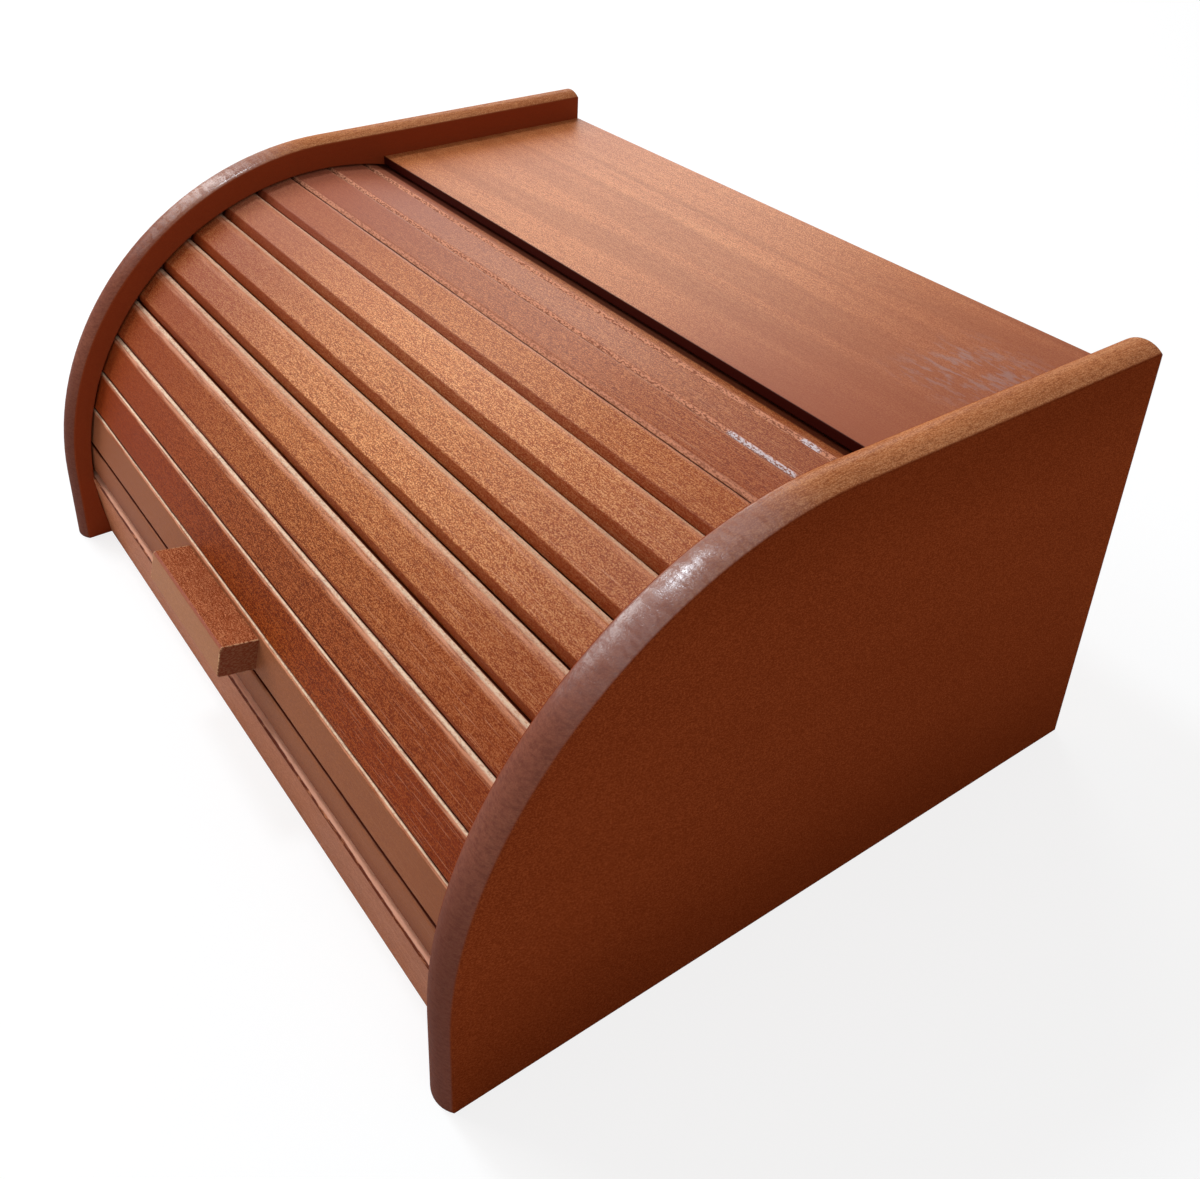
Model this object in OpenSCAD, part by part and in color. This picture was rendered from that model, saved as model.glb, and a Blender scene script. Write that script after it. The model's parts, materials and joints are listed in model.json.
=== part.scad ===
// Roll-front box: two round-shouldered side panels, a fixed top board, a bottom board, a back, a low
// front rail and a tambour shutter of wooden slats glued on cloth, which rolls in curved tracks.
// Millimetres. X runs along the width, Y from front to back, Z up. Modules are drawn with Y = 0 at the
// front edge of the side panels; at_origin() then puts the origin at the bottom centre.

/* [Box] */
// Width over the side panels
box_w = 385; // [300:1:460]
// Radius of the round shoulder of the side panels
shoulder_r = 150; // [135:1:165]
// Height of a side panel's straight front edge below the shoulder
skirt_h = 37.5; // [34:0.5:44]
// How far the side panels reach behind twice the shoulder's radius
rear_space = 8; // [6:1:40]
// Thickness of a side panel
side_t = 15; // [14:0.5:20]
// Height of the rounded crown on the top and front edges of a side panel
crown = 3; // [1:0.5:5]

/* [Boards] */
// Distance that the side panels stand above the top board
board_drop = 12; // [11.5:0.5:14]
// Thickness of the top board
board_t = 9; // [8:0.5:11]
// Distance of the top board's front edge behind the shoulder's centre
board_back = 32; // [28:1:36]
// Height of the top board's front edge, where it is thinned from below
board_lip = 4.2; // [2.5:0.1:4.4]
// Length of the thinned underside
board_bevel = 20; // [19:1:26]
// Thickness of the bottom board
floor_t = 8; // [6:0.5:10]
// Height of the bottom board's underside above the table
floor_z = 4; // [2:0.5:6]
// Depth of the housings that hold the bottom board
floor_housing = 5; // [3:0.5:7]
// Thickness of the back
back_t = 5; // [3:0.5:6]
// Depth of the rebates that hold the back
back_rebate = 7; // [5:0.5:8]

/* [Front rail] */
// Thickness of the front rail
rail_t = 7; // [5:0.5:7]
// Bevel along the front rail's upper edge
rail_bevel = 3; // [1:0.5:4]
// Gap between the front rail and the closed shutter
close_gap = 0.3; // [0.2:0.1:1]

/* [Shutter] */
// Distance of the slat faces inside the round shoulder
slat_inset = 11.3; // [11:0.1:13]
// How far the shutter's circle lies in front of the shoulder's centre
track_forward = 2.5; // [0:0.5:4]
// How far the shutter's circle lies below the shoulder's centre
track_below = 2; // [1:0.5:3]
// Thickness of a slat
slat_t = 8; // [6:0.5:9]
// Gap between the backs of two slats
slat_gap = 0.2; // [0.1:0.05:1]
// Angle from one slat to the next
slat_pitch = 8.4; // [8.4:0.05:8.6]
// Number of whole slats, with the one that carries the handle
slat_count = 13; // [12:1:13]
// Angle that the lead slat takes up
lead_angle = 7; // [6:0.1:8.4]
// Bevel on the lower front edge of a slat
bevel_low = 3.4; // [1:0.1:4]
// Bevel on the upper front edge of a slat
bevel_high = 2.4; // [1:0.1:3]
// Length of a slat's end inside the track
slat_end = 6; // [4:0.5:7]
// Thickness of the backing cloth
cloth_t = 0.8; // [0.5:0.1:1.2]
// Distance of the cloth's edges from the side panels
cloth_margin = 6; // [3:1:20]
// Angle that the shutter rolls from closed to open
travel = 70; // [40:1:72]

/* [Track] */
// Depth of the track in a side panel
track_depth = 7; // [5:0.5:9]
// Clearance between the slats' backs and the track's inner wall
track_back_gap = 0.35; // [0.2:0.05:0.6]
// Clearance between the slats' faces and the track's outer wall
track_face_gap = 1.2; // [0.5:0.1:2]

/* [Handle] */
// Length of the handle bar
handle_len = 74; // [50:1:120]
// Height of the handle bar
handle_h = 14; // [12:0.5:14]
// Distance that the handle bar stands out from its slat
handle_out = 16; // [10:0.5:22]
// Place of the handle bar's middle, left of the box's middle
handle_left = 12; // [0:1:40]
// Bevel round the handle bar's front
handle_bevel = 1.8; // [0.5:0.1:3]

/* [Fastenings] */
// Diameter of a dowel
dowel_d = 5; // [4:0.5:6]
// Depth of a dowel in a side panel
dowel_in_side = 8.5; // [6:0.5:11]
// Depth of a dowel in the top board
dowel_in_board = 14; // [10:1:20]
// Distance of the outer dowels from the ends of the top board's edge
dowel_margin = 30; // [25:1:45]
// Shank diameter of a handle screw
screw_d = 3.5; // [3:0.1:4]
// Head diameter of a handle screw
screw_head_d = 7; // [6:0.1:8]
// Clearance round a handle screw's shank in the slat
screw_slack = 0.2; // [0.05:0.05:0.4]
// Length of a handle screw
screw_len = 18; // [14:1:22]
// Distance between the handle screws
screw_gap = 44; // [20:1:44]
// Shank diameter of a back pin
pin_d = 1.4; // [1:0.1:2]
// Head diameter of a back pin
pin_head_d = 2.8; // [2.4:0.1:3.6]
// Height of a back pin's head
pin_head_h = 0.6; // [0.4:0.1:1]
// Length of a back pin
pin_len = 15; // [11:1:20]
// Distance of the outer back pins from the ends of the back's edges
pin_margin = 22; // [15:1:40]

/* [Hidden] */
$fn = 96;
cut = 0.5;
box_d = 2 * shoulder_r + rear_space;
box_h = shoulder_r + skirt_h;
inner_w = box_w - 2 * side_t;
board_top = box_h - board_drop;
board_under = board_top - board_t;
board_y = shoulder_r + board_back;
floor_top = floor_z + floor_t;
crown_r = (side_t * side_t / 4 + crown * crown) / (2 * crown);

// The shutter's circle: its centre, the radius of the slat faces and of the cloth's folds
track_y = shoulder_r - track_forward;
track_z = skirt_h - track_below;
face_r = shoulder_r - slat_inset;
fold_r = (face_r - slat_t) / cos(slat_pitch / 2);
track_in_r = face_r - slat_t - track_back_gap;
track_out_r = face_r + track_face_gap;

// Angles round that circle, from 0 at the front to 90 at the top
lead_from = asin(close_gap / fold_r) + 0.2;
first_from = lead_from + lead_angle;
shutter_to = first_from + slat_count * slat_pitch;
track_from = -asin(min(1, track_z / track_in_r)) - 3;
track_to = shutter_to + travel + 0.4;

// The front rail leans like a chord of that circle, from the table up to the closed shutter
rail_top = track_z + fold_r * sin(lead_from) - close_gap;
rail_foot_y = track_y - sqrt(face_r * face_r - track_z * track_z);
rail_head_y = track_y - face_r;
rail_lean = (rail_foot_y - rail_head_y) / rail_top;
rail_depth = rail_t * sqrt(1 + rail_lean * rail_lean);

// The handle sits on the slat above the lead slat
handle_angle = first_from + slat_pitch / 2;
handle_y = -fold_r * cos(slat_pitch / 2) - slat_t;
handle_front = -(track_y + (handle_y - handle_out) * cos(handle_angle)
    - (handle_h / 2 - handle_bevel) * sin(handle_angle));
front_reach = max(crown, handle_front);

dowel_rows = 3;
pin_rows = 3;
dowel_z = board_top - board_t / 2;
screw_head_h = (screw_head_d - screw_d) / 2;

// Puts the origin at the bottom centre, between the foremost point and the back
module at_origin() {
    translate([0, -(box_d - front_reach) / 2, 0]) children();
}

// Extrudes a Y-Z outline along the width, about the box's middle
module across(length) {
    rotate([90, 0, 90]) linear_extrude(height = length, center = true) children();
}

// Places a child that is drawn at the front of the shutter's circle at an angle round it
module on_track(angle) {
    translate([0, track_y, track_z]) rotate([-angle, 0, 0]) children();
}

// A part ring round the X axis, between two angles that count from the front over the top
module arc_ring(from, to) {
    rotate([0, 90, 0]) rotate([0, 0, 270 - to]) rotate_extrude(angle = to - from) children();
}

// Cross-section of a side panel's edge: square to the faces, then a rounded crown
module edge_profile(reach) {
    square([reach, side_t]);
    intersection() {
        translate([reach - cut, 0]) square([crown + 2 * cut, side_t]);
        translate([reach + crown - crown_r, side_t / 2]) circle(crown_r);
    }
}

// Side panel before its grooves, with its inner face at X = 0
module side_blank() {
    translate([0, shoulder_r, 0])
        linear_extrude(height = skirt_h) rotate(-90) edge_profile(shoulder_r);
    translate([0, shoulder_r, skirt_h]) arc_ring(0, 90) edge_profile(shoulder_r);
    translate([0, shoulder_r, 0]) rotate([0, -90, -90])
        linear_extrude(height = box_d - shoulder_r) edge_profile(box_h);
}

function dowel_y(i) = board_y + dowel_margin
    + i * (box_d - board_y - 2 * dowel_margin) / (dowel_rows - 1);

function pin_side_z(i) = floor_z + pin_margin
    + i * (board_under - floor_z - 2 * pin_margin) / (pin_rows - 1);

function pin_floor_x(i) = -inner_w / 2 + 2 * pin_margin
    + i * (inner_w - 4 * pin_margin) / (pin_rows - 1);

// Side panel on the right, with the track, the bottom board's housing and the back's rebate
module side_panel() {
    difference() {
        translate([inner_w / 2, 0, 0]) difference() {
            side_blank();
            translate([0, track_y, track_z]) arc_ring(track_from, track_to)
                translate([track_in_r, -cut]) square([track_out_r - track_in_r, track_depth + cut]);
            translate([-cut, rail_foot_y + rail_depth / 2, floor_z])
                cube([floor_housing + cut, box_d, floor_t]);
            translate([-cut, box_d - back_t, floor_z])
                cube([back_rebate + cut, back_t + cut, board_under - floor_z]);
        }
        dowels();
        pins(cut);
    }
}

module right_side() {
    color([0.36, 0.14, 0.07]) side_panel();
}

module left_side() {
    color([0.36, 0.14, 0.07]) mirror([1, 0, 0]) side_panel();
}

// Fixed top board: flat above, thinned below its front edge so that the shutter passes under it
module top_board() {
    color([0.66, 0.38, 0.24]) difference() {
        across(inner_w) polygon([
            [board_y, board_top],
            [board_y, board_top - board_lip],
            [board_y + board_bevel, board_under],
            [box_d, board_under],
            [box_d, board_top]]);
        dowels();
    }
}

// Front face of the rail at a height, and its back face
function rail_face_y(z) = rail_foot_y - z * rail_lean;
function rail_back_y(z) = rail_face_y(z) + rail_depth;

// Bottom board, housed in the side panels, with its front edge planed to the rail's lean
module bottom_board() {
    color([0.62, 0.36, 0.22]) difference() {
        across(inner_w + 2 * floor_housing) polygon([
            [rail_back_y(floor_z), floor_z],
            [box_d - back_t, floor_z],
            [box_d - back_t, floor_top],
            [rail_back_y(floor_top), floor_top]]);
        pins(cut);
    }
}

// Thin back, in rebates of the side panels, under the top board and behind the bottom board
module back_panel() {
    color([0.58, 0.34, 0.20]) difference() {
        translate([-inner_w / 2 - back_rebate, box_d - back_t, floor_z])
            cube([inner_w + 2 * back_rebate, back_t, board_under - floor_z]);
        pins(cut);
    }
}

// Fixed front rail, glued into the lower mouth of both tracks
module front_rail() {
    color([0.60, 0.35, 0.22]) across(inner_w + 2 * track_depth - close_gap) polygon([
        [rail_face_y(0), 0],
        [rail_face_y(rail_top - rail_bevel), rail_top - rail_bevel],
        [rail_face_y(rail_top) + rail_bevel, rail_top],
        [rail_back_y(rail_top), rail_top],
        [rail_back_y(0), 0]]);
}

// Slat at the front of the circle that takes up an angle: a flat strip with two bevelled front edges
module slat(span) {
    width = 2 * fold_r * sin(span / 2) - slat_gap;
    back = -fold_r * cos(span / 2);
    face = back - slat_t;
    across(inner_w + 2 * slat_end) polygon([
        [back, -width / 2],
        [face + bevel_low, -width / 2],
        [face, -width / 2 + bevel_low],
        [face, width / 2 - bevel_high],
        [face + bevel_high, width / 2],
        [back, width / 2]]);
}

// Whole slat by its number, counted from 1 at the handle
module whole_slat(number) {
    color([0.60, 0.30, 0.17])
        on_track(first_from + (number - 0.5) * slat_pitch) slat(slat_pitch);
}

// Lead slat, trimmed to meet the front rail
module lead_slat() {
    color([0.60, 0.30, 0.17])
        on_track(first_from - lead_angle / 2) slat(lead_angle);
}

module slat_01_handle() {
    difference() {
        whole_slat(1);
        on_track(handle_angle) screws(screw_slack, cut);
    }
}

// Cloth glued across the slats' backs, folded at every joint
module backing_cloth() {
    folds = [lead_from, for (i = [0:slat_count]) first_from + i * slat_pitch];
    color([0.52, 0.42, 0.30]) translate([0, track_y, track_z])
        across(inner_w - 2 * cloth_margin) polygon([
            for (a = folds) fold_r * [-cos(a), sin(a)],
            for (i = [len(folds) - 1:-1:0]) (fold_r - cloth_t) * [-cos(folds[i]), sin(folds[i])]]);
}

// Handle bar: bevelled along its two front edges and across its ends
module handle_bar() {
    color([0.56, 0.28, 0.18]) on_track(handle_angle) difference() {
        translate([-handle_left, handle_y, 0]) intersection() {
            across(handle_len) polygon([
                [0, -handle_h / 2],
                [handle_bevel - handle_out, -handle_h / 2],
                [-handle_out, handle_bevel - handle_h / 2],
                [-handle_out, handle_h / 2 - handle_bevel],
                [handle_bevel - handle_out, handle_h / 2],
                [0, handle_h / 2]]);
            linear_extrude(height = handle_h, center = true) polygon([
                [-handle_len / 2, 0],
                [-handle_len / 2, handle_bevel - handle_out],
                [handle_bevel - handle_len / 2, -handle_out],
                [handle_len / 2 - handle_bevel, -handle_out],
                [handle_len / 2, handle_bevel - handle_out],
                [handle_len / 2, 0]]);
        }
        screws(0, 0);
    }
}

// Both handle screws, drawn at the front of the circle: countersunk in the slat's back. Their holes have
// some slack round the shank and run out behind the slat
module screws(slack, behind) {
    for (side = [-1, 1])
        translate([side * screw_gap / 2 - handle_left, handle_y + slat_t + behind, 0]) rotate([90, 0, 0]) {
            cylinder(h = screw_len + behind, d = screw_d + 2 * slack);
            cylinder(h = screw_head_h + behind, d1 = screw_head_d + 2 * behind, d2 = screw_d);
        }
}

module handle_screws() {
    color("goldenrod") on_track(handle_angle) screws(0, 0);
}

// Dowels between the top board's ends and the side panels
module dowels() {
    for (side = [0, 1], i = [0:dowel_rows - 1])
        mirror([side, 0, 0]) translate([inner_w / 2 - dowel_in_board, dowel_y(i), dowel_z])
            rotate([0, 90, 0]) cylinder(h = dowel_in_board + dowel_in_side, d = dowel_d);
}

module board_dowels() {
    color("burlywood") dowels();
}

// One headed pin, driven forwards from the back's outer face. Its hole runs out behind the back
module pin(behind) {
    translate([0, behind, 0]) rotate([90, 0, 0]) {
        cylinder(h = pin_len + behind, d = pin_d);
        cylinder(h = pin_head_h + behind, d = pin_head_d);
    }
}

// Pins through the back, into the side panels' rebates and the bottom board's rear edge
module pins(behind) {
    for (side = [-1, 1], i = [0:pin_rows - 1])
        translate([side * (inner_w + back_rebate) / 2, box_d, pin_side_z(i)]) pin(behind);
    for (i = [0:pin_rows - 1]) translate([pin_floor_x(i), box_d, floor_z + floor_t / 2]) pin(behind);
}

module back_pins() {
    color("silver") pins(0);
}

at_origin() {
    left_side();
    right_side();
    top_board();
    bottom_board();
    back_panel();
    front_rail();
    lead_slat();
    slat_01_handle();
    whole_slat(2);  // slat_02
    whole_slat(3);  // slat_03
    whole_slat(4);  // slat_04
    whole_slat(5);  // slat_05
    whole_slat(6);  // slat_06
    whole_slat(7);  // slat_07
    whole_slat(8);  // slat_08
    whole_slat(9);  // slat_09
    whole_slat(10);  // slat_10
    whole_slat(11);  // slat_11
    whole_slat(12);  // slat_12
    whole_slat(13);  // slat_13
    backing_cloth();
    handle_bar();
    handle_screws();
    board_dowels();
    back_pins();
}
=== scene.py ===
import json
import math

import bpy
import numpy as np
from mathutils import Euler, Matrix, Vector


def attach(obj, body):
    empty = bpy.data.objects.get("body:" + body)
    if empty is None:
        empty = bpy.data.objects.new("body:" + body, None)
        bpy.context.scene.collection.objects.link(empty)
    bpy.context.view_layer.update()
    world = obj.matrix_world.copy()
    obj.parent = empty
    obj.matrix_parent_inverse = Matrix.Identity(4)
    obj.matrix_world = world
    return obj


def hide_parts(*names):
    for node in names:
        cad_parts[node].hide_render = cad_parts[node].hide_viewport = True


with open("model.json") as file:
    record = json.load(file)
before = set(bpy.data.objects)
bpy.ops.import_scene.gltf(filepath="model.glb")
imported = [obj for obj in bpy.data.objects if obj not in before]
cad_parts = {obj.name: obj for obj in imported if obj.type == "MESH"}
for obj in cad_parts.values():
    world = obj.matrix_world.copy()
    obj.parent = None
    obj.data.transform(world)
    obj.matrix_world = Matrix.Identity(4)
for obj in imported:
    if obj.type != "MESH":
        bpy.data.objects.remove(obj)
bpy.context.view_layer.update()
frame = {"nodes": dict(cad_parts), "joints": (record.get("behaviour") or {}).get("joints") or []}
nodes = frame["nodes"]


# ---- Side panels -------------------------------------------------------------------------------------
# Two boards of solid beech, 15 mm thick, sawn to a round front shoulder with a crowned edge and a curved
# track routed inside. Both are stained dark mahogany and lacquered; the grain runs from front to back, so
# the upright part of the edge shows end grain that drank more stain, and hands have polished the shoulder
# to a gloss, over which a pale milky tint is a painted reflection. The left outer face is painted darker as
# shade, and the inner faces a little lighter as painted light.

class Wire:
    """A shader socket. Arithmetic on wires adds Math nodes, and node() adds any other node."""

    def __init__(self, socket):
        self.socket = socket
        self.tree = socket.id_data

    def node(self, kind, settings, inputs, out=0):
        """Adds one node: first its settings, then the values or links of its sockets."""
        made = self.tree.nodes.new(kind)
        for name, value in settings.items():
            setattr(made, name, value)
        for name, value in inputs.items():
            if isinstance(value, Wire):
                self.tree.links.new(value.socket, made.inputs[name])
            else:
                made.inputs[name].default_value = value
        return Wire(made.outputs[out])

    def maths(self, operation, other=0.0, swap=False):
        """A Math node on this wire and another value, which comes first where swap is set."""
        values = (other, self) if swap else (self, other)
        return self.node("ShaderNodeMath", {"operation": operation}, dict(enumerate(values)))

    def __add__(self, other):
        return self.maths("ADD", other)

    def __radd__(self, other):
        return self.maths("ADD", other, swap=True)

    def __sub__(self, other):
        return self.maths("SUBTRACT", other)

    def __rsub__(self, other):
        return self.maths("SUBTRACT", other, swap=True)

    def __mul__(self, other):
        return self.maths("MULTIPLY", other)

    def __abs__(self):
        return self.maths("ABSOLUTE")

    def step(self, low, high):
        """0 below low, 1 above high, and smooth in between. High may be the smaller one."""
        flip = low > high
        lo, hi = (high, low) if flip else (low, high)
        inputs = {"Value": self, "From Min": lo, "From Max": hi, "To Min": float(flip), "To Max": float(not flip)}
        return self.node("ShaderNodeMapRange", {"interpolation_type": "SMOOTHSTEP"}, inputs)

    def part(self, axis):
        return self.node("ShaderNodeSeparateXYZ", {}, {0: self}, "XYZ".index(axis))

    def moved(self, by):
        return self.node("ShaderNodeVectorMath", {"operation": "ADD"}, {0: self, 1: by})

    def unit(self):
        return self.node("ShaderNodeVectorMath", {"operation": "NORMALIZE"}, {0: self})

    def noise(self, across, detail=2.0, rough=0.5, bend=0.0):
        """Noise of 0 to 1 whose three frequencies, in waves a metre, are given by across."""
        scaled = self.node("ShaderNodeVectorMath", {"operation": "MULTIPLY"}, {0: self, 1: across})
        inputs = {"Vector": scaled, "Scale": 1.0, "Detail": detail, "Roughness": rough, "Distortion": bend}
        return self.node("ShaderNodeTexNoise", {}, inputs)

    def tint(self, colour, amount):
        """This colour with another laid over it by an amount of 0 to 1."""
        return self.node("ShaderNodeMix", {"data_type": "RGBA"}, {0: amount, 6: self, 7: colour}, 2)

    def between(self, low, high):
        """The colour that runs from low to high as this wire runs from 0 to 1."""
        return self.node("ShaderNodeMix", {"data_type": "RGBA"}, {0: self, 6: low, 7: high}, 2)


def paint(red, green, blue):
    """An on-screen colour of 0 to 255 as the linear colour that shaders take."""
    value = np.array([red, green, blue]) / 255
    linear = np.where(value > 0.04045, ((value + 0.055) / 1.055) ** 2.4, value / 12.92)
    return (*linear.tolist(), 1.0)


def new_material(name, slot_colour):
    """A material, the wire of its Object coordinates, and its shader."""
    material = bpy.data.materials.new(name)
    material.use_nodes = True
    material.diffuse_color = slot_colour
    tree = material.node_tree
    shader = next(n for n in tree.nodes if n.type == "BSDF_PRINCIPLED")
    place = Wire(tree.nodes.new("ShaderNodeTexCoord").outputs["Object"])
    return material, place, shader


def grain_masks(place, along, shift):
    """Beech, with its grain along one axis: long pale streaks, short flecks, fine mottle and slow clouds."""
    def waves(run, side):
        rates = [side, side, side]
        rates["XYZ".index(along)] = run
        return rates

    moved = place.moved((shift, shift * 0.7, shift * 1.3))
    streaks = moved.noise(waves(5, 260), detail=4, rough=0.6, bend=0.25)
    flecks = moved.noise(waves(300, 1700), detail=1, rough=0.4)
    pores = moved.noise(waves(1400, 2700), detail=1, rough=0.6)
    clouds = moved.noise(waves(9, 26), detail=3, rough=0.55, bend=0.6)
    return streaks, flecks, pores, clouds


def stained(place, along, base, deep, pale, shift=0.0, fleck=0.55, streak=0.5, cloud=0.5, speckle=0.35):
    """Base stain, deep in the flecks and pores and pale along the streaks; returns the colour and the relief.
    The steps' limits are levels of noise, and the last four values say how strongly each mask shows."""
    streaks, flecks, pores, clouds = grain_masks(place, along, shift)
    colour = (clouds.step(0.30, 0.72) * cloud).between(base, deep)
    colour = colour.tint(pale, streaks.step(0.50, 0.74) * streak)
    colour = colour.tint(deep, streaks.step(0.47, 0.28) * (streak * 0.8))
    colour = colour.tint(deep, flecks.step(0.52, 0.66) * fleck)
    colour = colour.tint(pale, flecks.step(0.45, 0.32) * (fleck * 0.7))
    colour = colour.tint(deep, pores.step(0.50, 0.62) * speckle)
    colour = colour.tint(pale, pores.step(0.47, 0.36) * speckle)
    relief = streaks * 0.5 - flecks.step(0.55, 0.72) * 0.5 - pores.step(0.5, 0.7) * 0.3
    return colour, relief


def finish(shader, colour, rough, relief, depth, arris=0.0, sheen=0.5, coat=0.0, coat_rough=0.25, flatten=None):
    """Feeds the shader. Depth is the relief's height in metres, arris the radius that softens sharp edges,
    sheen the bare stain's gloss and coat how much lacquer lies over it. Flatten, which needs an arris, is a
    direction and how far the surface's own normal is turned to it."""
    tree = colour.tree
    for name, value in (("Base Color", colour), ("Roughness", rough), ("Coat Weight", coat)):
        if isinstance(value, Wire):
            tree.links.new(value.socket, shader.inputs[name])
        else:
            shader.inputs[name].default_value = value
    shader.inputs["Specular IOR Level"].default_value = sheen
    shader.inputs["Coat Roughness"].default_value = coat_rough
    inputs = {"Height": relief, "Strength": 1.0, "Distance": depth}
    if arris:
        inputs["Normal"] = colour.node("ShaderNodeBevel", {"samples": 6}, {"Radius": arris})
    if flatten:
        direction, amount = flatten
        mix = {0: amount, 4: inputs["Normal"], 5: direction}
        inputs["Normal"] = colour.node("ShaderNodeMix", {"data_type": "VECTOR"}, mix, 1).unit()
    tree.links.new(colour.node("ShaderNodeBump", {}, inputs).socket, shader.inputs["Normal"])


def dress(material, *names):
    """Puts one material on every slot of the CAD nodes of these names."""
    for name in names:
        for slot in nodes[name].material_slots:
            slot.material = material


BOX_W = 0.385
SIDE_T = 0.015
SHOULDER_R = 0.150
TRACK_FORWARD = 0.0025
TRACK_BELOW = 0.002
track = next(j for j in frame["joints"] if j["name"] == "shutter_roll")["pos_m"]
SHOULDER_Y = track[1] + TRACK_FORWARD
SHOULDER_Z = track[2] + TRACK_BELOW
OUTER_X = BOX_W / 2
INNER_X = OUTER_X - SIDE_T
MIDDLE_X = (BOX_W - SIDE_T) / 2
PANEL_ARRIS = 0.0007
# Where each look begins and is full, in Y from the shoulder's centre: the front of the edge is at -0.150.
END_GRAIN = (-0.040, -0.110)
FOOT = (-0.135, -0.153)
POLISH_AND_SHEEN_LOW = (-0.118, -0.080)
POLISH_AND_SHEEN_HIGH = (-0.008, -0.045)
LEFT_LESS_POLISH_AND_SHEEN = (-0.050, -0.092)

panel, place, shader = new_material("panel_wood", paint(112, 48, 24))
colour, relief = stained(
    place, "Y", paint(126, 54, 24), paint(107, 41, 16), paint(142, 66, 32), fleck=0.35, streak=0.08, cloud=0.3,
    speckle=0.8)
edge_colour, edge_relief = stained(
    place, "Y", paint(192, 118, 72), paint(136, 70, 38), paint(214, 150, 104), 0.3, fleck=0.5, streak=0.5,
    speckle=0.5)
x, y, z = (place.part(axis) for axis in "XYZ")
out_from_middle = abs(x)
on_edge = out_from_middle.step(OUTER_X - 0.0002, OUTER_X - 0.0010)
on_edge = on_edge * out_from_middle.step(INNER_X + 0.0002, INNER_X + 0.0010)
forward = y - SHOULDER_Y
upright = forward.step(*END_GRAIN)
rings = place.noise((420, 160, 1100), detail=4, rough=0.7, bend=0.4).step(0.40, 0.66)
edge_colour = edge_colour.tint(paint(126, 72, 60), upright * 0.85)
edge_colour = edge_colour.tint(paint(86, 40, 34), upright * rings * 0.4)
edge_colour = edge_colour.tint(paint(88, 42, 30), forward.step(*FOOT) * 0.6)
polish_and_painted_sheen = forward.step(*POLISH_AND_SHEEN_LOW) * forward.step(*POLISH_AND_SHEEN_HIGH)
on_left = x.step(0.0, -0.01)
polish_and_painted_sheen = polish_and_painted_sheen * (on_left * forward.step(*LEFT_LESS_POLISH_AND_SHEEN) * -0.75 + 1.0)
streaked = place.noise((120, 420, 420), detail=3, rough=0.6).step(0.36, 0.60) * 0.7 + 0.3
# Painted reflection: a pale milky tint where the shoulder is polished; the glossy shader mixed in below gives the
# gloss itself.
edge_colour = edge_colour.tint(paint(140, 98, 92), polish_and_painted_sheen * 0.6)
near_foot_and_top = z.step(0.07, 0.0) * 0.35 + z.step(0.14, 0.19) * 0.3
left_face_shade = x.step(0.002 - OUTER_X, 0.0005 - OUTER_X)
inside = out_from_middle.step(INNER_X + 0.0006, INNER_X + 0.0001)
colour = colour.tint(paint(78, 24, 4), near_foot_and_top)
# Painted shade: the left outer face, which faces the window, is painted darker.
colour = colour.tint(paint(84, 30, 12), left_face_shade * 0.6)
colour = colour.tint(edge_colour, on_edge)
# Painted light: the inner faces, which stand in shade, are painted a little lighter.
colour = colour.tint(paint(132, 54, 28), inside * 0.8)
outward = place.node("ShaderNodeCombineXYZ", {}, {
    0: 0.0, 1: forward.maths("MINIMUM"), 2: (z - SHOULDER_Z).maths("MAXIMUM")}).unit()
crown = abs(out_from_middle - MIDDLE_X).step(0.0072, 0.0050)
finish(shader, colour, 0.5, relief, 0.00005, arris=PANEL_ARRIS, sheen=0.0, coat=on_edge * 0.10)
rubbed = panel.node_tree.nodes.new("ShaderNodeBsdfPrincipled")
finish(rubbed, edge_colour, 0.20, edge_relief, 0.00004, arris=PANEL_ARRIS, flatten=(outward, crown * 0.65))
both = place.node("ShaderNodeMixShader", {}, {
    0: on_edge * polish_and_painted_sheen * streaked, 1: Wire(shader.outputs[0]), 2: Wire(rubbed.outputs[0])})
surface = next(n for n in panel.node_tree.nodes if n.type == "OUTPUT_MATERIAL").inputs["Surface"]
panel.node_tree.links.new(both.socket, surface)
dress(panel, "left_side", "right_side")


# ---- Top board ---------------------------------------------------------------------------------------
# A light beech board glued and dowelled between the panels, with its grain along the width and a few
# darker bands of growth. Its right end and right front, and a little its left end, are painted darker as
# shade, the light falling off from the left middle; a greyish patch near its right end is painted sheen,
# and the front edge and underside of its lip are painted dark, partly darker stain and partly painted
# shade. Thin lacquer.

BOARD_Y = SHOULDER_Y + 0.032
SHEEN_PATCH_X = ((0.118, 0.140), (0.174, 0.160))
SHEEN_PATCH_Y = ((0.070, 0.095), (0.142, 0.115))

board, place, shader = new_material("top_wood", paint(190, 125, 85))
colour, relief = stained(
    place, "X", paint(204, 120, 68), paint(152, 76, 34), paint(234, 160, 104), 1.7, fleck=0.6, streak=0.4,
    cloud=0.3, speckle=0.8)
x, y = place.part("X"), place.part("Y")
growth = place.noise((2.2, 34, 10), detail=2, bend=0.8)
left_end_shade = x.step(-0.07, -0.16)
front_right_shade = x.step(-0.02, 0.15) * y.step(0.09, 0.03)
grey_sheen_patch = place.noise((110, 420, 420), detail=4, rough=0.7).step(0.48, 0.62)
for limits in SHEEN_PATCH_X:
    grey_sheen_patch = grey_sheen_patch * x.step(*limits)
for limits in SHEEN_PATCH_Y:
    grey_sheen_patch = grey_sheen_patch * y.step(*limits)
lip_stain_and_shade = y.step(BOARD_Y + 0.0007, BOARD_Y + 0.0001)
colour = colour.tint(paint(146, 78, 40), growth.step(0.52, 0.66) * 0.35)
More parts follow.
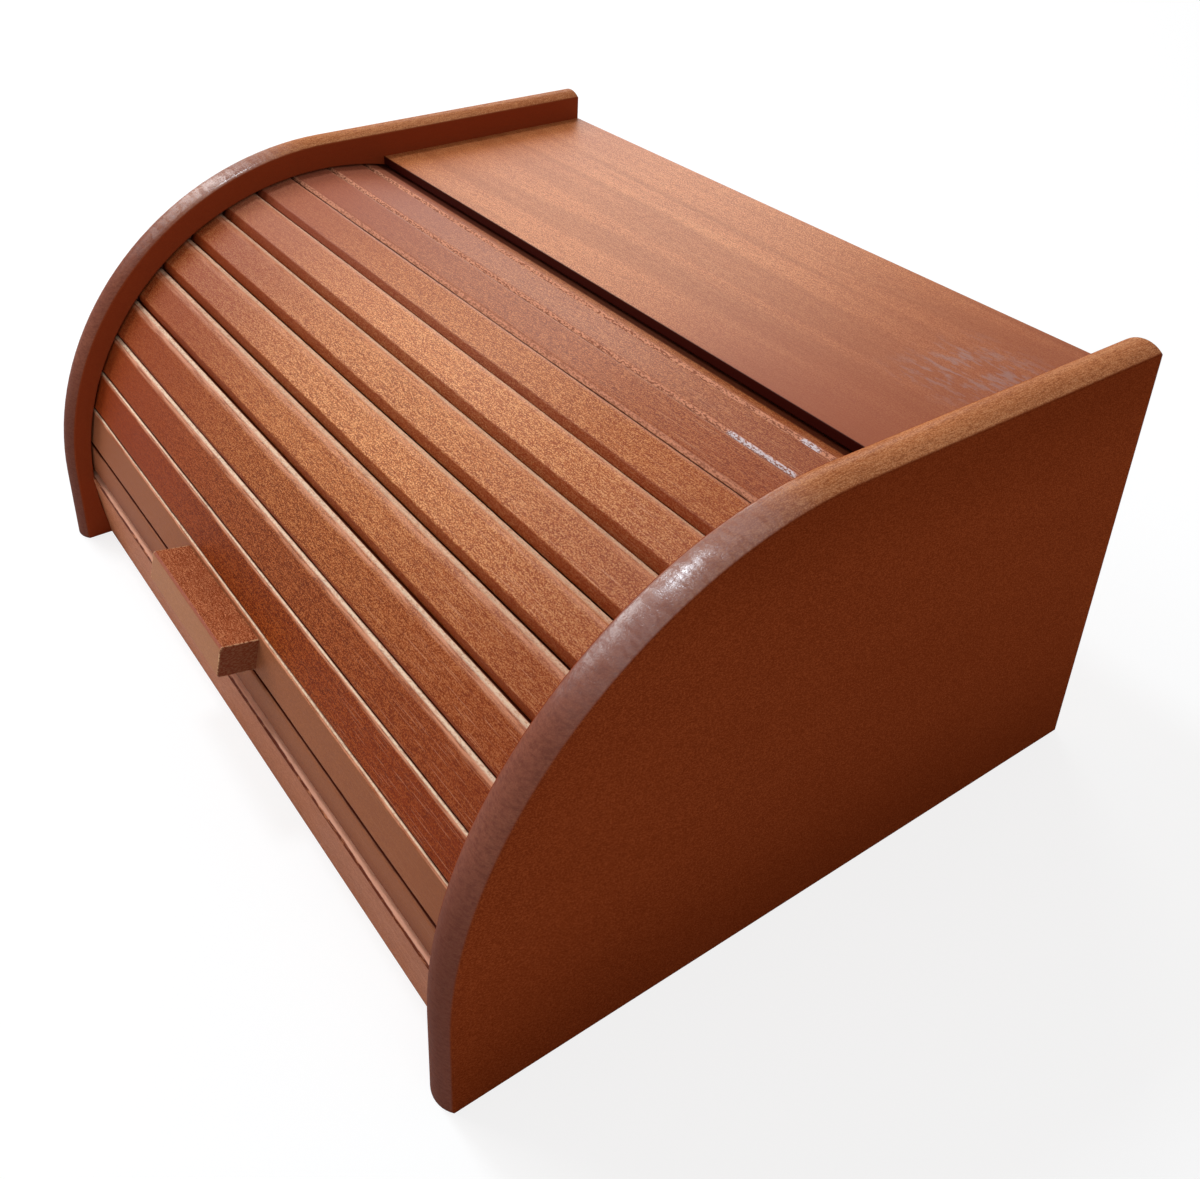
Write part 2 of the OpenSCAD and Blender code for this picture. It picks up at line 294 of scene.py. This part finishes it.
# Painted shade: darker towards the right end, the right front and a little the left end, as the light falls off
# from the left middle.
colour = colour.tint(paint(146, 66, 28), x.step(0.0, 0.17) * 0.68)
colour = colour.tint(paint(150, 70, 32), left_end_shade * 0.3 + front_right_shade * 0.75)
# Painted sheen: a greyish patch near the right end where the lacquer shows a grey sheen.
colour = colour.tint(paint(160, 128, 122), grey_sheen_patch * 0.5)
# Painted dark on the lip's front edge and underside: partly darker stain, partly painted shade.
colour = colour.tint(paint(58, 12, 5), lip_stain_and_shade)
finish(shader, colour, 0.46 + growth * 0.08, relief, 0.00004, arris=0.0005, sheen=0.06,
       coat=0.20 - lip_stain_and_shade * 0.2, coat_rough=0.42)
dress(board, "top_board")


# ---- Bottom board and back ---------------------------------------------------------------------------
# Plain inner boards, sealed but hardly stained. The bottom board is let into the panels, and the thin back
# lies in their rebates.

inner, place, shader = new_material("inner_wood", paint(176, 116, 76))
colour, relief = stained(
    place, "X", paint(176, 116, 76), paint(140, 84, 50), paint(204, 148, 104), 3.1, fleck=0.4, streak=0.6)
finish(shader, colour, 0.52, relief, 0.00006, arris=0.0004)
dress(inner, "bottom_board", "back_panel")


# ---- Dowels and pins ---------------------------------------------------------------------------------
# Bare beech dowels in blind holes, and small steel pins driven through the back.

dowel, place, shader = new_material("dowel_wood", paint(206, 168, 122))
colour, relief = stained(
    place, "X", paint(206, 168, 122), paint(176, 132, 88), paint(224, 192, 150), 5.0, fleck=0.4, streak=0.6)
finish(shader, colour, 0.6, relief, 0.00006)
dress(dowel, "board_dowels")


def metal(name, slot_colour, bright, dull, rate, rough, spread):
    """A metal that is bright with duller blotches, whose roughness grows by spread towards the dull ones."""
    material, place, shader = new_material(name, slot_colour)
    shader.inputs["Metallic"].default_value = 1.0
    blotches = place.noise((rate, rate, rate), detail=3)
    colour = blotches.step(0.4, 0.7).between(bright, dull)
    finish(shader, colour, rough + blotches * spread, blotches, 0.00002)
    return material


steel = metal("pin_steel", paint(168, 168, 170), paint(176, 176, 178), paint(120, 118, 116), 900, 0.3, 0.25)
dress(steel, "back_pins")


# ---- Slats -------------------------------------------------------------------------------------------
# Fourteen beech strips, planed flat and bevelled along both front edges, side by side on the cloth. The
# arrises are rubbed through to paler wood, with a painted highlight along each upper roll, the stain has
# gathered dark in the joints, the lower bevels are painted darker as shade, and the ends run out of sight
# in the tracks. The lowest strip is narrower than the rest.

SLAT_T = 0.008
SLAT_GAP = 0.0002
SLAT_L = BOX_W - 2 * SIDE_T + 0.012
FACE_R = SHOULDER_R - 0.0113
PITCH = math.radians(8.4)
LEAD = math.radians(7)
LEAD_CUT = math.radians(0.4)
FOLD_R = (FACE_R - SLAT_T) / math.cos(PITCH / 2)
CLOSE_GAP = 0.0003
LEAD_FROM = math.asin(CLOSE_GAP / FOLD_R) + math.radians(0.2)
FIRST_FROM = LEAD_FROM + LEAD
SPREAD = 0.7
EASED = 0.0003
# One value a strip, from the lowest to the last: bevels in mm, how light it is, its own stain together with
# painted light that is strongest on the middle strips, how far its lower bevel is a pale torn ledge, partly
# torn wood and partly painted light, how far its upper roll is pale, partly rubbed wood and partly painted
# highlight, and where a glare is painted along X.
LOW_BEVELS = np.array([1.2, 1.7, 0.9, 1.0, 1.6, 3.2, 3.4, 3.4, 3.4, 2.6, 1.8, 1.5, 2.3, 1.8]) / 1000
HIGH_BEVELS = np.array([0.6, 0.9, 0.95, 1.7, 2.1, 2.4, 2.4, 2.2, 1.9, 1.4, 1.0, 0.9, 0.9, 0.9]) / 1000
STAIN_AND_LIGHT_LEVELS = np.array([0.15, 0.20, 0.00, 0.12, 0.32, 0.55, 0.85, 0.78, 1.00, 0.72, 0.32, 0.42, 0.50, 0.50])
LEDGES = np.array([0, 0, 0, 0, 0, 0, 0, 0, 0, 0.05, 0.7, 1, 1, 1])
RIM_WEAR_AND_HIGHLIGHT = np.array([0, 1.0, 1.0, 0.9, 0.8, 0.6, 0.55, 0.5, 0.4, 0.3, 0.3, 0.3, 0.3, 0.3])
PAINTED_GLARES = {11: (0.1285, 0.1645), 12: (0.1435, 0.1555)}
NO_GLARE = (1, 1)
LAST_RUBBED = 8


def rounded(corners, radii, steps):
    """Outline with every corner replaced by a parabola: it starts and ends one radius from the corner and
    leans on it by Bezier's weights. Corners may carry leading axes, one outline each."""
    corners = np.asarray(corners, float)
    radii = np.asarray(radii, float)[:, None, None]
    back = np.roll(corners, 1, -2) - corners
    ahead = np.roll(corners, -1, -2) - corners
    back = (back / np.linalg.norm(back, axis=-1, keepdims=True))[..., None, :]
    ahead = (ahead / np.linalg.norm(ahead, axis=-1, keepdims=True))[..., None, :]
    middle = corners[..., None, :]
    t = np.linspace(0, 1, steps)[:, None]
    curve = (1 - t) ** 2 * (middle + back * radii) + 2 * t * (1 - t) * middle + t ** 2 * (middle + ahead * radii)
    return curve.reshape(*corners.shape[:-2], -1, 2)


def round_places(corners, steps):
    """For every point of a rounded outline, the number of its corner and its way round it from 0 to 1."""
    return np.repeat(np.arange(corners), steps), np.tile(np.linspace(0, 1, steps), corners)


def flat_after(corner, t, first, climb=None):
    """1 on the flat after one corner of the outline. It climbs round that corner, as t or as the climb given,
    and falls to 0 round the next corner."""
    return np.select([corner == first, corner == first + 1], [t if climb is None else climb, 1 - t], 0.0)


def on_track(along, reach, side, angle):
    """Points along X that lie a reach out from the track's axis at an angle above the front, and then a
    distance up square to that ray."""
    return np.stack([
        np.broadcast_to(along[:, None], reach.shape),
        track[1] - reach * math.cos(angle) + side * math.sin(angle),
        track[2] + reach * math.sin(angle) + side * math.cos(angle)], -1)


def turned_out(points, shades):
    """The outlines taken the other way round, so that the faces look outwards, with a shade at every point."""
    full = np.ones(points.shape[:2])
    return points[:, ::-1], {key: (value * full)[:, ::-1] for key, value in shades.items()}


def lofted(name, points, shades, body, stands_for, slot_name):
    """A closed bar from a grid of points, stations by outline, with flat caps. Shades are values that the
    material reads at every point."""
    stations, around = points.shape[:2]
    here = np.arange(stations * around).reshape(stations, around)
    there = np.roll(here, -1, 1)
    sides = np.stack([here[:-1], there[:-1], there[1:], here[1:]], -1).reshape(-1, 4)
    mesh = bpy.data.meshes.new(name)
    mesh.from_pydata(points.reshape(-1, 3), [], [*sides.tolist(), here[0, ::-1].tolist(), here[-1].tolist()])
    for key, values in shades.items():
        mesh.attributes.new(key, "FLOAT", "POINT").data.foreach_set("value", np.ravel(values).astype(np.float32))
    mesh.shade_smooth()
    piece = bpy.data.objects.new(name, mesh)
    bpy.context.collection.objects.link(piece)
    piece.modifiers.new("flats", "WEIGHTED_NORMAL").weight = 100
    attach(piece, body)
    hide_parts(stands_for)
    return piece


def shade_wires(place, *keys):
    """The wires of the shades of these names."""
    return [place.node("ShaderNodeAttribute", {"attribute_name": key}, {}, "Fac") for key in keys]


def slat(name, start, span, number, stands_for):
    """A strip between two angles of the track's circle: outline in thickness and width, carried along X. The
    lower bevel is flat and the upper one a soft roll. Their depths wander along the strip as a sum of slow
    waves, and the strip widens towards its face so that the joints stay narrow round the curve."""
    width = 2 * FOLD_R * math.sin(span / 2) - SLAT_GAP
    spread = SPREAD * math.tan(span / 2)
    along = np.linspace(-SLAT_L / 2, SLAT_L / 2, 120)
    turns = np.array([3.1, 7.3, 17.9, 41.0, 97.0]) * 6.0
    seeds = np.array([1.3, 2.9, 4.7, 6.1, 3.3]) * (number + 1)
    heights = np.array([0.09, 0.07, 0.05, 0.03, 0.03]) / 1000
    wander = np.sin(along[:, None] * turns + seeds) @ heights
    low = LOW_BEVELS[number] + wander
    high = HIGH_BEVELS[number] + wander[::-1] * 0.6
    full = np.ones_like(along)
    depth = np.stack([0 * full, SLAT_T - low, SLAT_T * full, SLAT_T * full, SLAT_T - high, 0 * full], 1)
    height = np.stack([-full, -full, -full, full, full, full], 1) * (width / 2 + spread * depth)
    height[:, 2] += low
    height[:, 3] -= high
    # The lead strip's wider rounding widens the painted shade on its lower bevel.
    lip = 0.0016 if number == 0 else 0.0007
    steps = 7
    radii = [EASED, EASED, lip, HIGH_BEVELS[number], EASED, EASED]
    outline = rounded(np.stack([depth, height], -1), radii, steps)
    reach = FOLD_R * math.cos(span / 2) + outline[..., 0]
    points = on_track(along, reach, outline[..., 1], start + span / 2)
    corner, t = round_places(len(radii), steps)
    lower = flat_after(corner, t, 1)
    sunk = np.select([corner == 1, corner == 4], [1 - t, t], (corner == 0) | (corner == 5))
    if number > LAST_RUBBED:
        sunk = np.maximum(sunk, (corner == 3) * np.clip(t * 3 - 1.6, 0, 1) + (corner == 4))
    glare_from, glare_to = PAINTED_GLARES.get(number, NO_GLARE)
    shades = {
        "lower": lower,
        "upper": flat_after(corner, t, 3),
        "rim": RIM_WEAR_AND_HIGHLIGHT[number] * flat_after(corner, t, 3, np.minimum(t * 2.5, 1)),
        "arris": RIM_WEAR_AND_HIGHLIGHT[number] * flat_after(corner, t, 3, np.clip(t * 6 - 4.2, 0, 1)),
        "sunk": sunk,
        "stain": STAIN_AND_LIGHT_LEVELS[number],
        "ledge": LEDGES[number] * lower,
        "smear": ((along > glare_from) & (along < glare_to))[:, None] * lower}
    return lofted(name, *turned_out(points, shades), "shutter", stands_for, "slat_wood")


slats = [slat("lead_strip", LEAD_FROM + LEAD_CUT, LEAD - LEAD_CUT, 0, "lead_slat"),
         slat("strip_01", FIRST_FROM, PITCH, 1, "slat_01_handle")]
slats += [slat(f"strip_{i:02}", FIRST_FROM + (i - 1) * PITCH, PITCH, i, f"slat_{i:02}") for i in range(2, 14)]

strip, place, shader = new_material("slat_wood", paint(180, 108, 64))
lower, upper, rim, arris, sunk, stain, ledge, smear = shade_wires(
    place, "lower", "upper", "rim", "arris", "sunk", "stain", "ledge", "smear")
# Each strip is cut from another part of the wood, as far away as its level of stain and painted light differs.
shifted = place.moved(place.node("ShaderNodeCombineXYZ", {}, {0: stain * 7.0, 1: stain * 3.0, 2: stain * 5.0}))
x, y, z = (place.part(axis) for axis in "XYZ")
# The level is the strip's own stain together with painted light, brightest on the middle strips.
colour, relief = stained(
    shifted, "X", stain.between(paint(142, 56, 16), paint(220, 132, 72)),
    stain.between(paint(94, 32, 8), paint(154, 74, 34)), stain.between(paint(180, 92, 40), paint(255, 188, 126)),
    fleck=0.8, streak=0.25, cloud=0.3, speckle=0.9)
rub = shifted.noise((60, 900, 900), detail=3, rough=0.6)
tear = shifted.noise((620, 1500, 1500), detail=2, rough=0.7)
scratches = shifted.noise((45, 2600, 2600), detail=1).step(0.62, 0.72) * x.step(0.04, 0.13)
ends_stain_and_shade = x.step(0.03, 0.185) * 0.5 + x.step(0.0, -0.15) * 0.7
lower_bevel_shade = lower.step(0.1, 0.8) * (1.0 - ledge)
worn = z.step(0.0745, 0.0725) * (1.0 - rim.step(0.0, 0.3)) * (1.0 - lower_bevel_shade)
high_up = z.step(0.06, 0.17)
under_board_shade = y.step(0.0262, 0.0278)
# Darker towards both ends: partly more stain near the panels, partly painted shade as the light falls off from
# the middle.
colour = colour.tint(paint(138, 52, 20), ends_stain_and_shade)
# Painted sheen: the highest strips paler and pinker on the left and middle, where they catch the light.
colour = colour.tint(paint(210, 150, 130), z.step(0.157, 0.168) * x.step(0.12, 0.03) * 0.2)
colour = colour.tint(paint(230, 166, 126), scratches * 0.35)
# Painted shade: the lower bevels, which face away from the light, are painted darker.
colour = colour.tint(paint(124, 44, 14), lower_bevel_shade * (0.5 + tear * 0.5))
# Partly rubbed paler wood, partly painted highlight: a pale band along each upper roll and a cream line on its
# outer arris, where the light catches it.
colour = colour.tint(paint(232, 160, 122), rim * (rub.step(0.36, 0.60) * 0.65 + 0.15))
colour = colour.tint(paint(255, 226, 192), arris * (tear.step(0.38, 0.54) * 0.5 + 0.45))
colour = colour.tint(paint(154, 96, 66), worn * 0.75)
# Painted shade: the lowest strips darker towards their foot at the rail, and their lower bevels darker still.
colour = colour.tint(paint(92, 30, 12), worn * z.step(0.048, 0.036) * 0.5 + z.step(0.060, 0.056) * lower_bevel_shade * 0.7)
# Partly torn pale wood, partly painted light: the top strips' lower bevels face up into the light.
colour = colour.tint(paint(236, 162, 126), ledge.step(0.2, 0.8) * 0.75)
colour = colour.tint(paint(112, 42, 20), ledge * tear.step(0.47, 0.56) * 0.75)
# Painted reflection: whitish glare on the ledges of two top strips; the coat is also raised there.
colour = colour.tint(paint(222, 210, 214), smear.step(0.3, 0.8) * tear.step(0.58, 0.48) * 0.85)
colour = colour.tint(paint(70, 14, 6), sunk.step(0.2, 0.9) * 0.9)
# Painted shadow: the strips dark where they run under the board's lip.
colour = colour.tint(paint(58, 14, 6), under_board_shade * 0.9)
relief = relief + (lower + upper * 0.5) * tear * 2.0
lacquer = high_up * (0.14 - lower * 0.12) + upper * 0.1 + smear * 0.4
finish(shader, colour, 0.46 + rub * 0.10, relief, 0.00008, sheen=0.04, coat=lacquer, coat_rough=0.42)
for piece in slats:
    piece.data.materials.append(strip)


# ---- Front rail --------------------------------------------------------------------------------------
# A fixed beech bar glued into the mouths of both tracks, leaning with the shutter's curve. Its upper front
# edge is bevelled, and the router has torn the arris a little.

RAIL_T = 0.007
RAIL_L = BOX_W - 2 * SIDE_T + 0.0137
RAIL_TOP = track[2] + FOLD_R * math.sin(LEAD_FROM) - CLOSE_GAP
RAIL_FOOT_Y = track[1] - math.sqrt(FACE_R ** 2 - track[2] ** 2)
RAIL_LEAN = (RAIL_FOOT_Y - (track[1] - FACE_R)) / RAIL_TOP
RAIL_DEPTH = RAIL_T * math.sqrt(1 + RAIL_LEAN ** 2)
RAIL_PROUD = 0.0020
RAIL_BEVEL = 0.0008


def rail_bar():
    """A bar carried along X: an outline of five corners that leans back by a fixed share of its height. The
    bevel's depth wanders along the bar as a sum of four waves, from slow to quick."""
    along = np.linspace(-RAIL_L / 2, RAIL_L / 2, 240)
    turns = np.array([19.0, 113.0, 431.0, 877.0])
    seeds = np.array([0.4, 2.2, 1.1, 5.2])
    heights = np.array([0.08, 0.08, 0.05, 0.04]) / 1000
    bevel = RAIL_BEVEL + np.sin(along[:, None] * turns + seeds) @ heights
    full = np.ones_like(along)
    head_y = RAIL_FOOT_Y - RAIL_TOP * RAIL_LEAN
    under_bevel_y = RAIL_FOOT_Y - (RAIL_TOP - bevel) * RAIL_LEAN
    ys = np.stack([
        (RAIL_FOOT_Y - RAIL_PROUD) * full, under_bevel_y - RAIL_PROUD, head_y + bevel - RAIL_PROUD,
        (head_y + RAIL_DEPTH) * full, (RAIL_FOOT_Y + RAIL_DEPTH) * full], 1)
    zs = np.stack([0 * full, RAIL_TOP - bevel, RAIL_TOP * full, RAIL_TOP * full, 0 * full], 1)
    radii = [0.0004, 0.0004, 0.0004, EASED, EASED]
    steps = 5
    outline = rounded(np.stack([ys, zs], -1), radii, steps)
    points = np.concatenate([np.broadcast_to(along[:, None, None], (*outline.shape[:2], 1)), outline], -1)
    corner, t = round_places(len(radii), steps)
    shades = {"arris": flat_after(corner, t, 1), "ledge": flat_after(corner, t, 2)}
    return lofted("rail_bar", *turned_out(points, shades), "case", "front_rail", "rail_wood")


rail = rail_bar()
bar, place, shader = new_material("rail_wood", paint(172, 112, 80))
arris, ledge = shade_wires(place, "arris", "ledge")
colour, relief = stained(
    place, "X", paint(184, 112, 76), paint(146, 80, 50), paint(208, 142, 106), 2.3, fleck=0.4, streak=0.25)
tear = place.noise((140, 900, 900), detail=3, rough=0.7)
# Painted pale pink: partly a paler rough top, partly painted light where the lead strip above shades it.
colour = colour.tint(paint(255, 188, 158), ledge.step(0.2, 0.8) * (0.4 + tear * 0.6))
colour = colour.tint(paint(84, 26, 14), arris.step(0.1, 0.7) * tear.step(0.34, 0.50) * 0.9)
finish(shader, colour, 0.46 + tear * 0.10, relief, 0.00006, sheen=0.03, coat=0.04)
rail.data.materials.append(bar)


# ---- Handle ------------------------------------------------------------------------------------------
# A short square beech bar with a narrow bevel round its front, screwed on through its slat from behind. It
# stands a little left of the middle. Its ends show dark end grain, chipped pale round the edge.

HANDLE_L = 0.074
HANDLE_H = 0.014
HANDLE_OUT = 0.016
HANDLE_LEFT = 0.012
HANDLE_BEVEL = 0.0009
HANDLE_NOSE = 0.0005
HANDLE_ANGLE = FIRST_FROM + PITCH / 2


def bar_handle():
    """A bar carried along X: the last half millimetre at both ends is drawn in along a quarter circle."""
    left = np.linspace(0, HANDLE_NOSE, 7)
    run = np.concatenate([left, np.linspace(0.001, HANDLE_L - 0.001, 40), HANDLE_L - left[::-1]])
    to_end = np.minimum(run, HANDLE_L - run)
    short = np.maximum(HANDLE_NOSE - to_end, 0)
    pull = HANDLE_NOSE - np.sqrt(np.maximum(HANDLE_NOSE ** 2 - short ** 2, 0))
    front = HANDLE_OUT - pull
    half = HANDLE_H / 2 - pull
    root = 0 * front
    depth = np.stack([root, front - HANDLE_BEVEL, front, front, front - HANDLE_BEVEL, root], 1)
    height = np.stack([-half, -half, HANDLE_BEVEL - half, half - HANDLE_BEVEL, half, half], 1)
    radii = [0.0001, 0.0004, 0.0004, 0.0004, 0.0004, 0.0001]
    steps = 5
    outline = rounded(np.stack([depth, height], -1), radii, steps)
    reach = FOLD_R * math.cos(PITCH / 2) + SLAT_T + outline[..., 0]
    points = on_track(run - HANDLE_L / 2 - HANDLE_LEFT, reach, outline[..., 1], HANDLE_ANGLE)
    corner, t = round_places(len(radii), steps)
    shades = {"bevelled": flat_after(corner, t, 1) + flat_after(corner, t, 3),
              "front": (corner == 2) | (corner == 3)}
    return lofted("handle_grip", *turned_out(points, shades), "shutter", "handle_bar", "handle_wood")


grip = bar_handle()
knob, place, shader = new_material("handle_wood", paint(160, 88, 56))
bevelled, front = shade_wires(place, "bevelled", "front")
colour, relief = stained(
    place, "X", paint(172, 88, 50), paint(122, 50, 24), paint(216, 142, 98), 4.2, fleck=0.6, streak=0.2,
    speckle=0.7)
HANDLE_END = HANDLE_L / 2
from_middle = abs(place.part("X") + HANDLE_LEFT)
cut_end = from_middle.step(HANDLE_END - 0.0006, HANDLE_END - 0.0001)
chips = from_middle.step(HANDLE_END - 0.0011, HANDLE_END - 0.0004)
chips = chips * from_middle.step(HANDLE_END + 0.0001, HANDLE_END - 0.0003)
rings = place.noise((200, 700, 1500), detail=3, rough=0.6)
colour = colour.tint(paint(176, 120, 84), front * 0.8)
colour = colour.tint(paint(150, 72, 54), bevelled.step(0.2, 0.8) * (0.4 + rings * 0.6))
colour = colour.tint(paint(98, 40, 22), cut_end * (0.6 + rings * 0.5))
colour = colour.tint(paint(222, 172, 128), chips * rings.step(0.44, 0.60) * 0.8)
finish(shader, colour, 0.42 + rings * 0.08, relief, 0.00005, sheen=0.03, coat=0.06)
grip.data.materials.append(knob)


# ---- Cloth -------------------------------------------------------------------------------------------
# Unbleached cotton canvas glued over the slats' backs. It holds the strips together and bends at every
# joint. Its two long edges are raw cuts.

CLOTH_W = BOX_W - 2 * SIDE_T - 0.012
CLOTH_T = 0.0008
THREADS = 5200.0


def canvas():
    """A closed thin band: the outer side lies on the slats' backs as a fold line of chords, the inner side one
    thickness nearer to the centre, and both are cut into fine steps along the arc. Also returns its length."""
    folds = np.concatenate([[LEAD_FROM], FIRST_FROM + PITCH * np.arange(14)])
    corners = FOLD_R * np.stack([-np.cos(folds), np.sin(folds)], 1)
    pace = np.arange(len(folds))
    fine = np.linspace(0, len(folds) - 1, (len(folds) - 1) * 8 + 1)
    path = np.stack([np.interp(fine, pace, corners[:, 0]), np.interp(fine, pace, corners[:, 1])], 1)
    thin = 1 - CLOTH_T / np.hypot(*path.T)
    ring = np.concatenate([path, (path * thin[:, None])[::-1]])
    run = np.concatenate([[0], np.cumsum(np.hypot(*np.diff(path, axis=0).T))])
    along = np.linspace(-CLOTH_W / 2, CLOTH_W / 2, 60)
    points = np.empty((len(along), len(ring), 3))
    points[..., 0] = along[:, None]
    points[..., 1] = track[1] + ring[:, 0]
    points[..., 2] = track[2] + ring[:, 1]
    length = np.concatenate([run, run[::-1]]) * np.ones(points.shape[:2])
    return lofted("canvas_back", points, {"run": length}, "shutter", "backing_cloth", "cloth"), float(run[-1])


cloth, cloth_l = canvas()
weave, place, shader = new_material("cloth", paint(178, 156, 120))
run, = shade_wires(place, "run")
threads = (run * THREADS).maths("SINE") * (place.part("X") * THREADS).maths("SINE")
slub = place.noise((40, 900, 900), detail=2)
colour = threads.step(-0.6, 0.8).between(paint(142, 120, 88), paint(190, 168, 132))
colour = colour.tint(paint(164, 138, 100), slub.step(0.45, 0.7) * 0.6)
finish(shader, colour, 0.9, threads * 0.5 + slub, 0.0002)
cloth.data.materials.append(weave)


# ---- Handle screws -----------------------------------------------------------------------------------
# Two countersunk brass wood screws, driven from behind before the cloth is glued on.

brass = metal("screw_brass", paint(200, 160, 92), paint(204, 166, 98), paint(150, 108, 56), 700, 0.28, 0.2)
dress(brass, "handle_screws")


# ---- Photographer's table, light and camera ----------------------------------------------------------
# A plain pale floor and a white surround. A large soft window stands in front on the left, a smaller one
# behind on the left, a weak fill on the right, and a small cool lamp hangs high over the left front. The
# camera stands at the photograph's place, in front on the right and above.

FLOOR_HALF = 6
LENS_MM = 38.72
SHIFT_X, SHIFT_Y = 0.04, -0.17
CAMERA_AT = (0.40718, -0.27252, 0.40751)
CAMERA_TURN = (60.518, -1.201, 55.280)

mesh = bpy.data.meshes.new("floor")
square = [(-FLOOR_HALF, -FLOOR_HALF, 0), (FLOOR_HALF, -FLOOR_HALF, 0), (FLOOR_HALF, FLOOR_HALF, 0),
          (-FLOOR_HALF, FLOOR_HALF, 0)]
mesh.from_pydata(square, [], [(0, 1, 2, 3)])
floor = bpy.data.objects.new("floor", mesh)
bpy.context.collection.objects.link(floor)
ground = bpy.data.materials.new("floor")
ground.use_nodes = True
tree = ground.node_tree
tree.nodes.clear()
# To the camera the floor is nearly white of itself and keeps only the object's shadow.
seen = Wire(tree.nodes.new("ShaderNodeLightPath").outputs["Is Camera Ray"])
plain = seen.node("ShaderNodeBsdfDiffuse", {}, {"Color": (0.92, 0.92, 0.92, 1)})
faint = seen.node("ShaderNodeBsdfDiffuse", {}, {"Color": (0.24, 0.24, 0.24, 1)})
lit = seen.node("ShaderNodeEmission", {}, {"Color": (1, 1, 1, 1), "Strength": 0.80})
both = seen.node("ShaderNodeAddShader", {}, {0: faint, 1: lit})
mixed = seen.node("ShaderNodeMixShader", {}, {0: seen, 1: plain, 2: both})
tree.links.new(mixed.socket, tree.nodes.new("ShaderNodeOutputMaterial").inputs["Surface"])
mesh.materials.append(ground)

world = bpy.data.worlds.new("surround")
bpy.context.scene.world = world
world.use_nodes = True
tree = world.node_tree
tree.nodes.clear()
light_path = tree.nodes.new("ShaderNodeLightPath")
seen, mirrored, through = (
    Wire(light_path.outputs[name]) for name in ("Is Camera Ray", "Is Glossy Ray", "Is Transmission Ray"))
shows = seen.maths("MAXIMUM", mirrored.maths("MAXIMUM", through))
surround = seen.node("ShaderNodeBackground", {}, {"Color": (1, 1, 1, 1), "Strength": 0.32 + shows * 0.68})
tree.links.new(surround.socket, tree.nodes.new("ShaderNodeOutputWorld").inputs["Surface"])


def soft_light(name, place, aim, size, watts, colour=(1, 1, 1)):
    """A lamp of a width and a height at a place, turned towards a point."""
    lamp = bpy.data.lights.new(name, "AREA")
    lamp.shape = "RECTANGLE"
    lamp.size, lamp.size_y = size
    lamp.energy = watts
    lamp.color = colour
    holder = bpy.data.objects.new(name, lamp)
    bpy.context.collection.objects.link(holder)
    holder.location = place
    holder.rotation_euler = (Vector(aim) - Vector(place)).to_track_quat("-Z", "Y").to_euler()


soft_light("window", (-2.0, -0.85, 1.50), (0, 0, 0.12), (1.6, 1.1), 36)
soft_light("side_window", (-1.8, 1.45, 1.05), (0, 0.05, 0.18), (1.1, 0.9), 14)
soft_light("fill", (2.2, -0.3, 0.7), (0.19, 0.0, 0.09), (1.4, 1.0), 10)
soft_light("ceiling", (-0.70, -0.24, 1.42), (0.10, -0.05, 0.15), (0.22, 0.22), 8, (0.80, 0.91, 1.0))

lens = bpy.data.cameras.new("camera")
lens.sensor_width = 36
lens.lens = LENS_MM
lens.shift_x = SHIFT_X
lens.shift_y = SHIFT_Y
lens.clip_start = 0.01
camera = bpy.data.objects.new("camera", lens)
bpy.context.collection.objects.link(camera)
camera.location = CAMERA_AT
camera.rotation_euler = Euler([math.radians(angle) for angle in CAMERA_TURN])
bpy.context.scene.camera = camera
bpy.context.scene.view_settings.view_transform = "Standard"
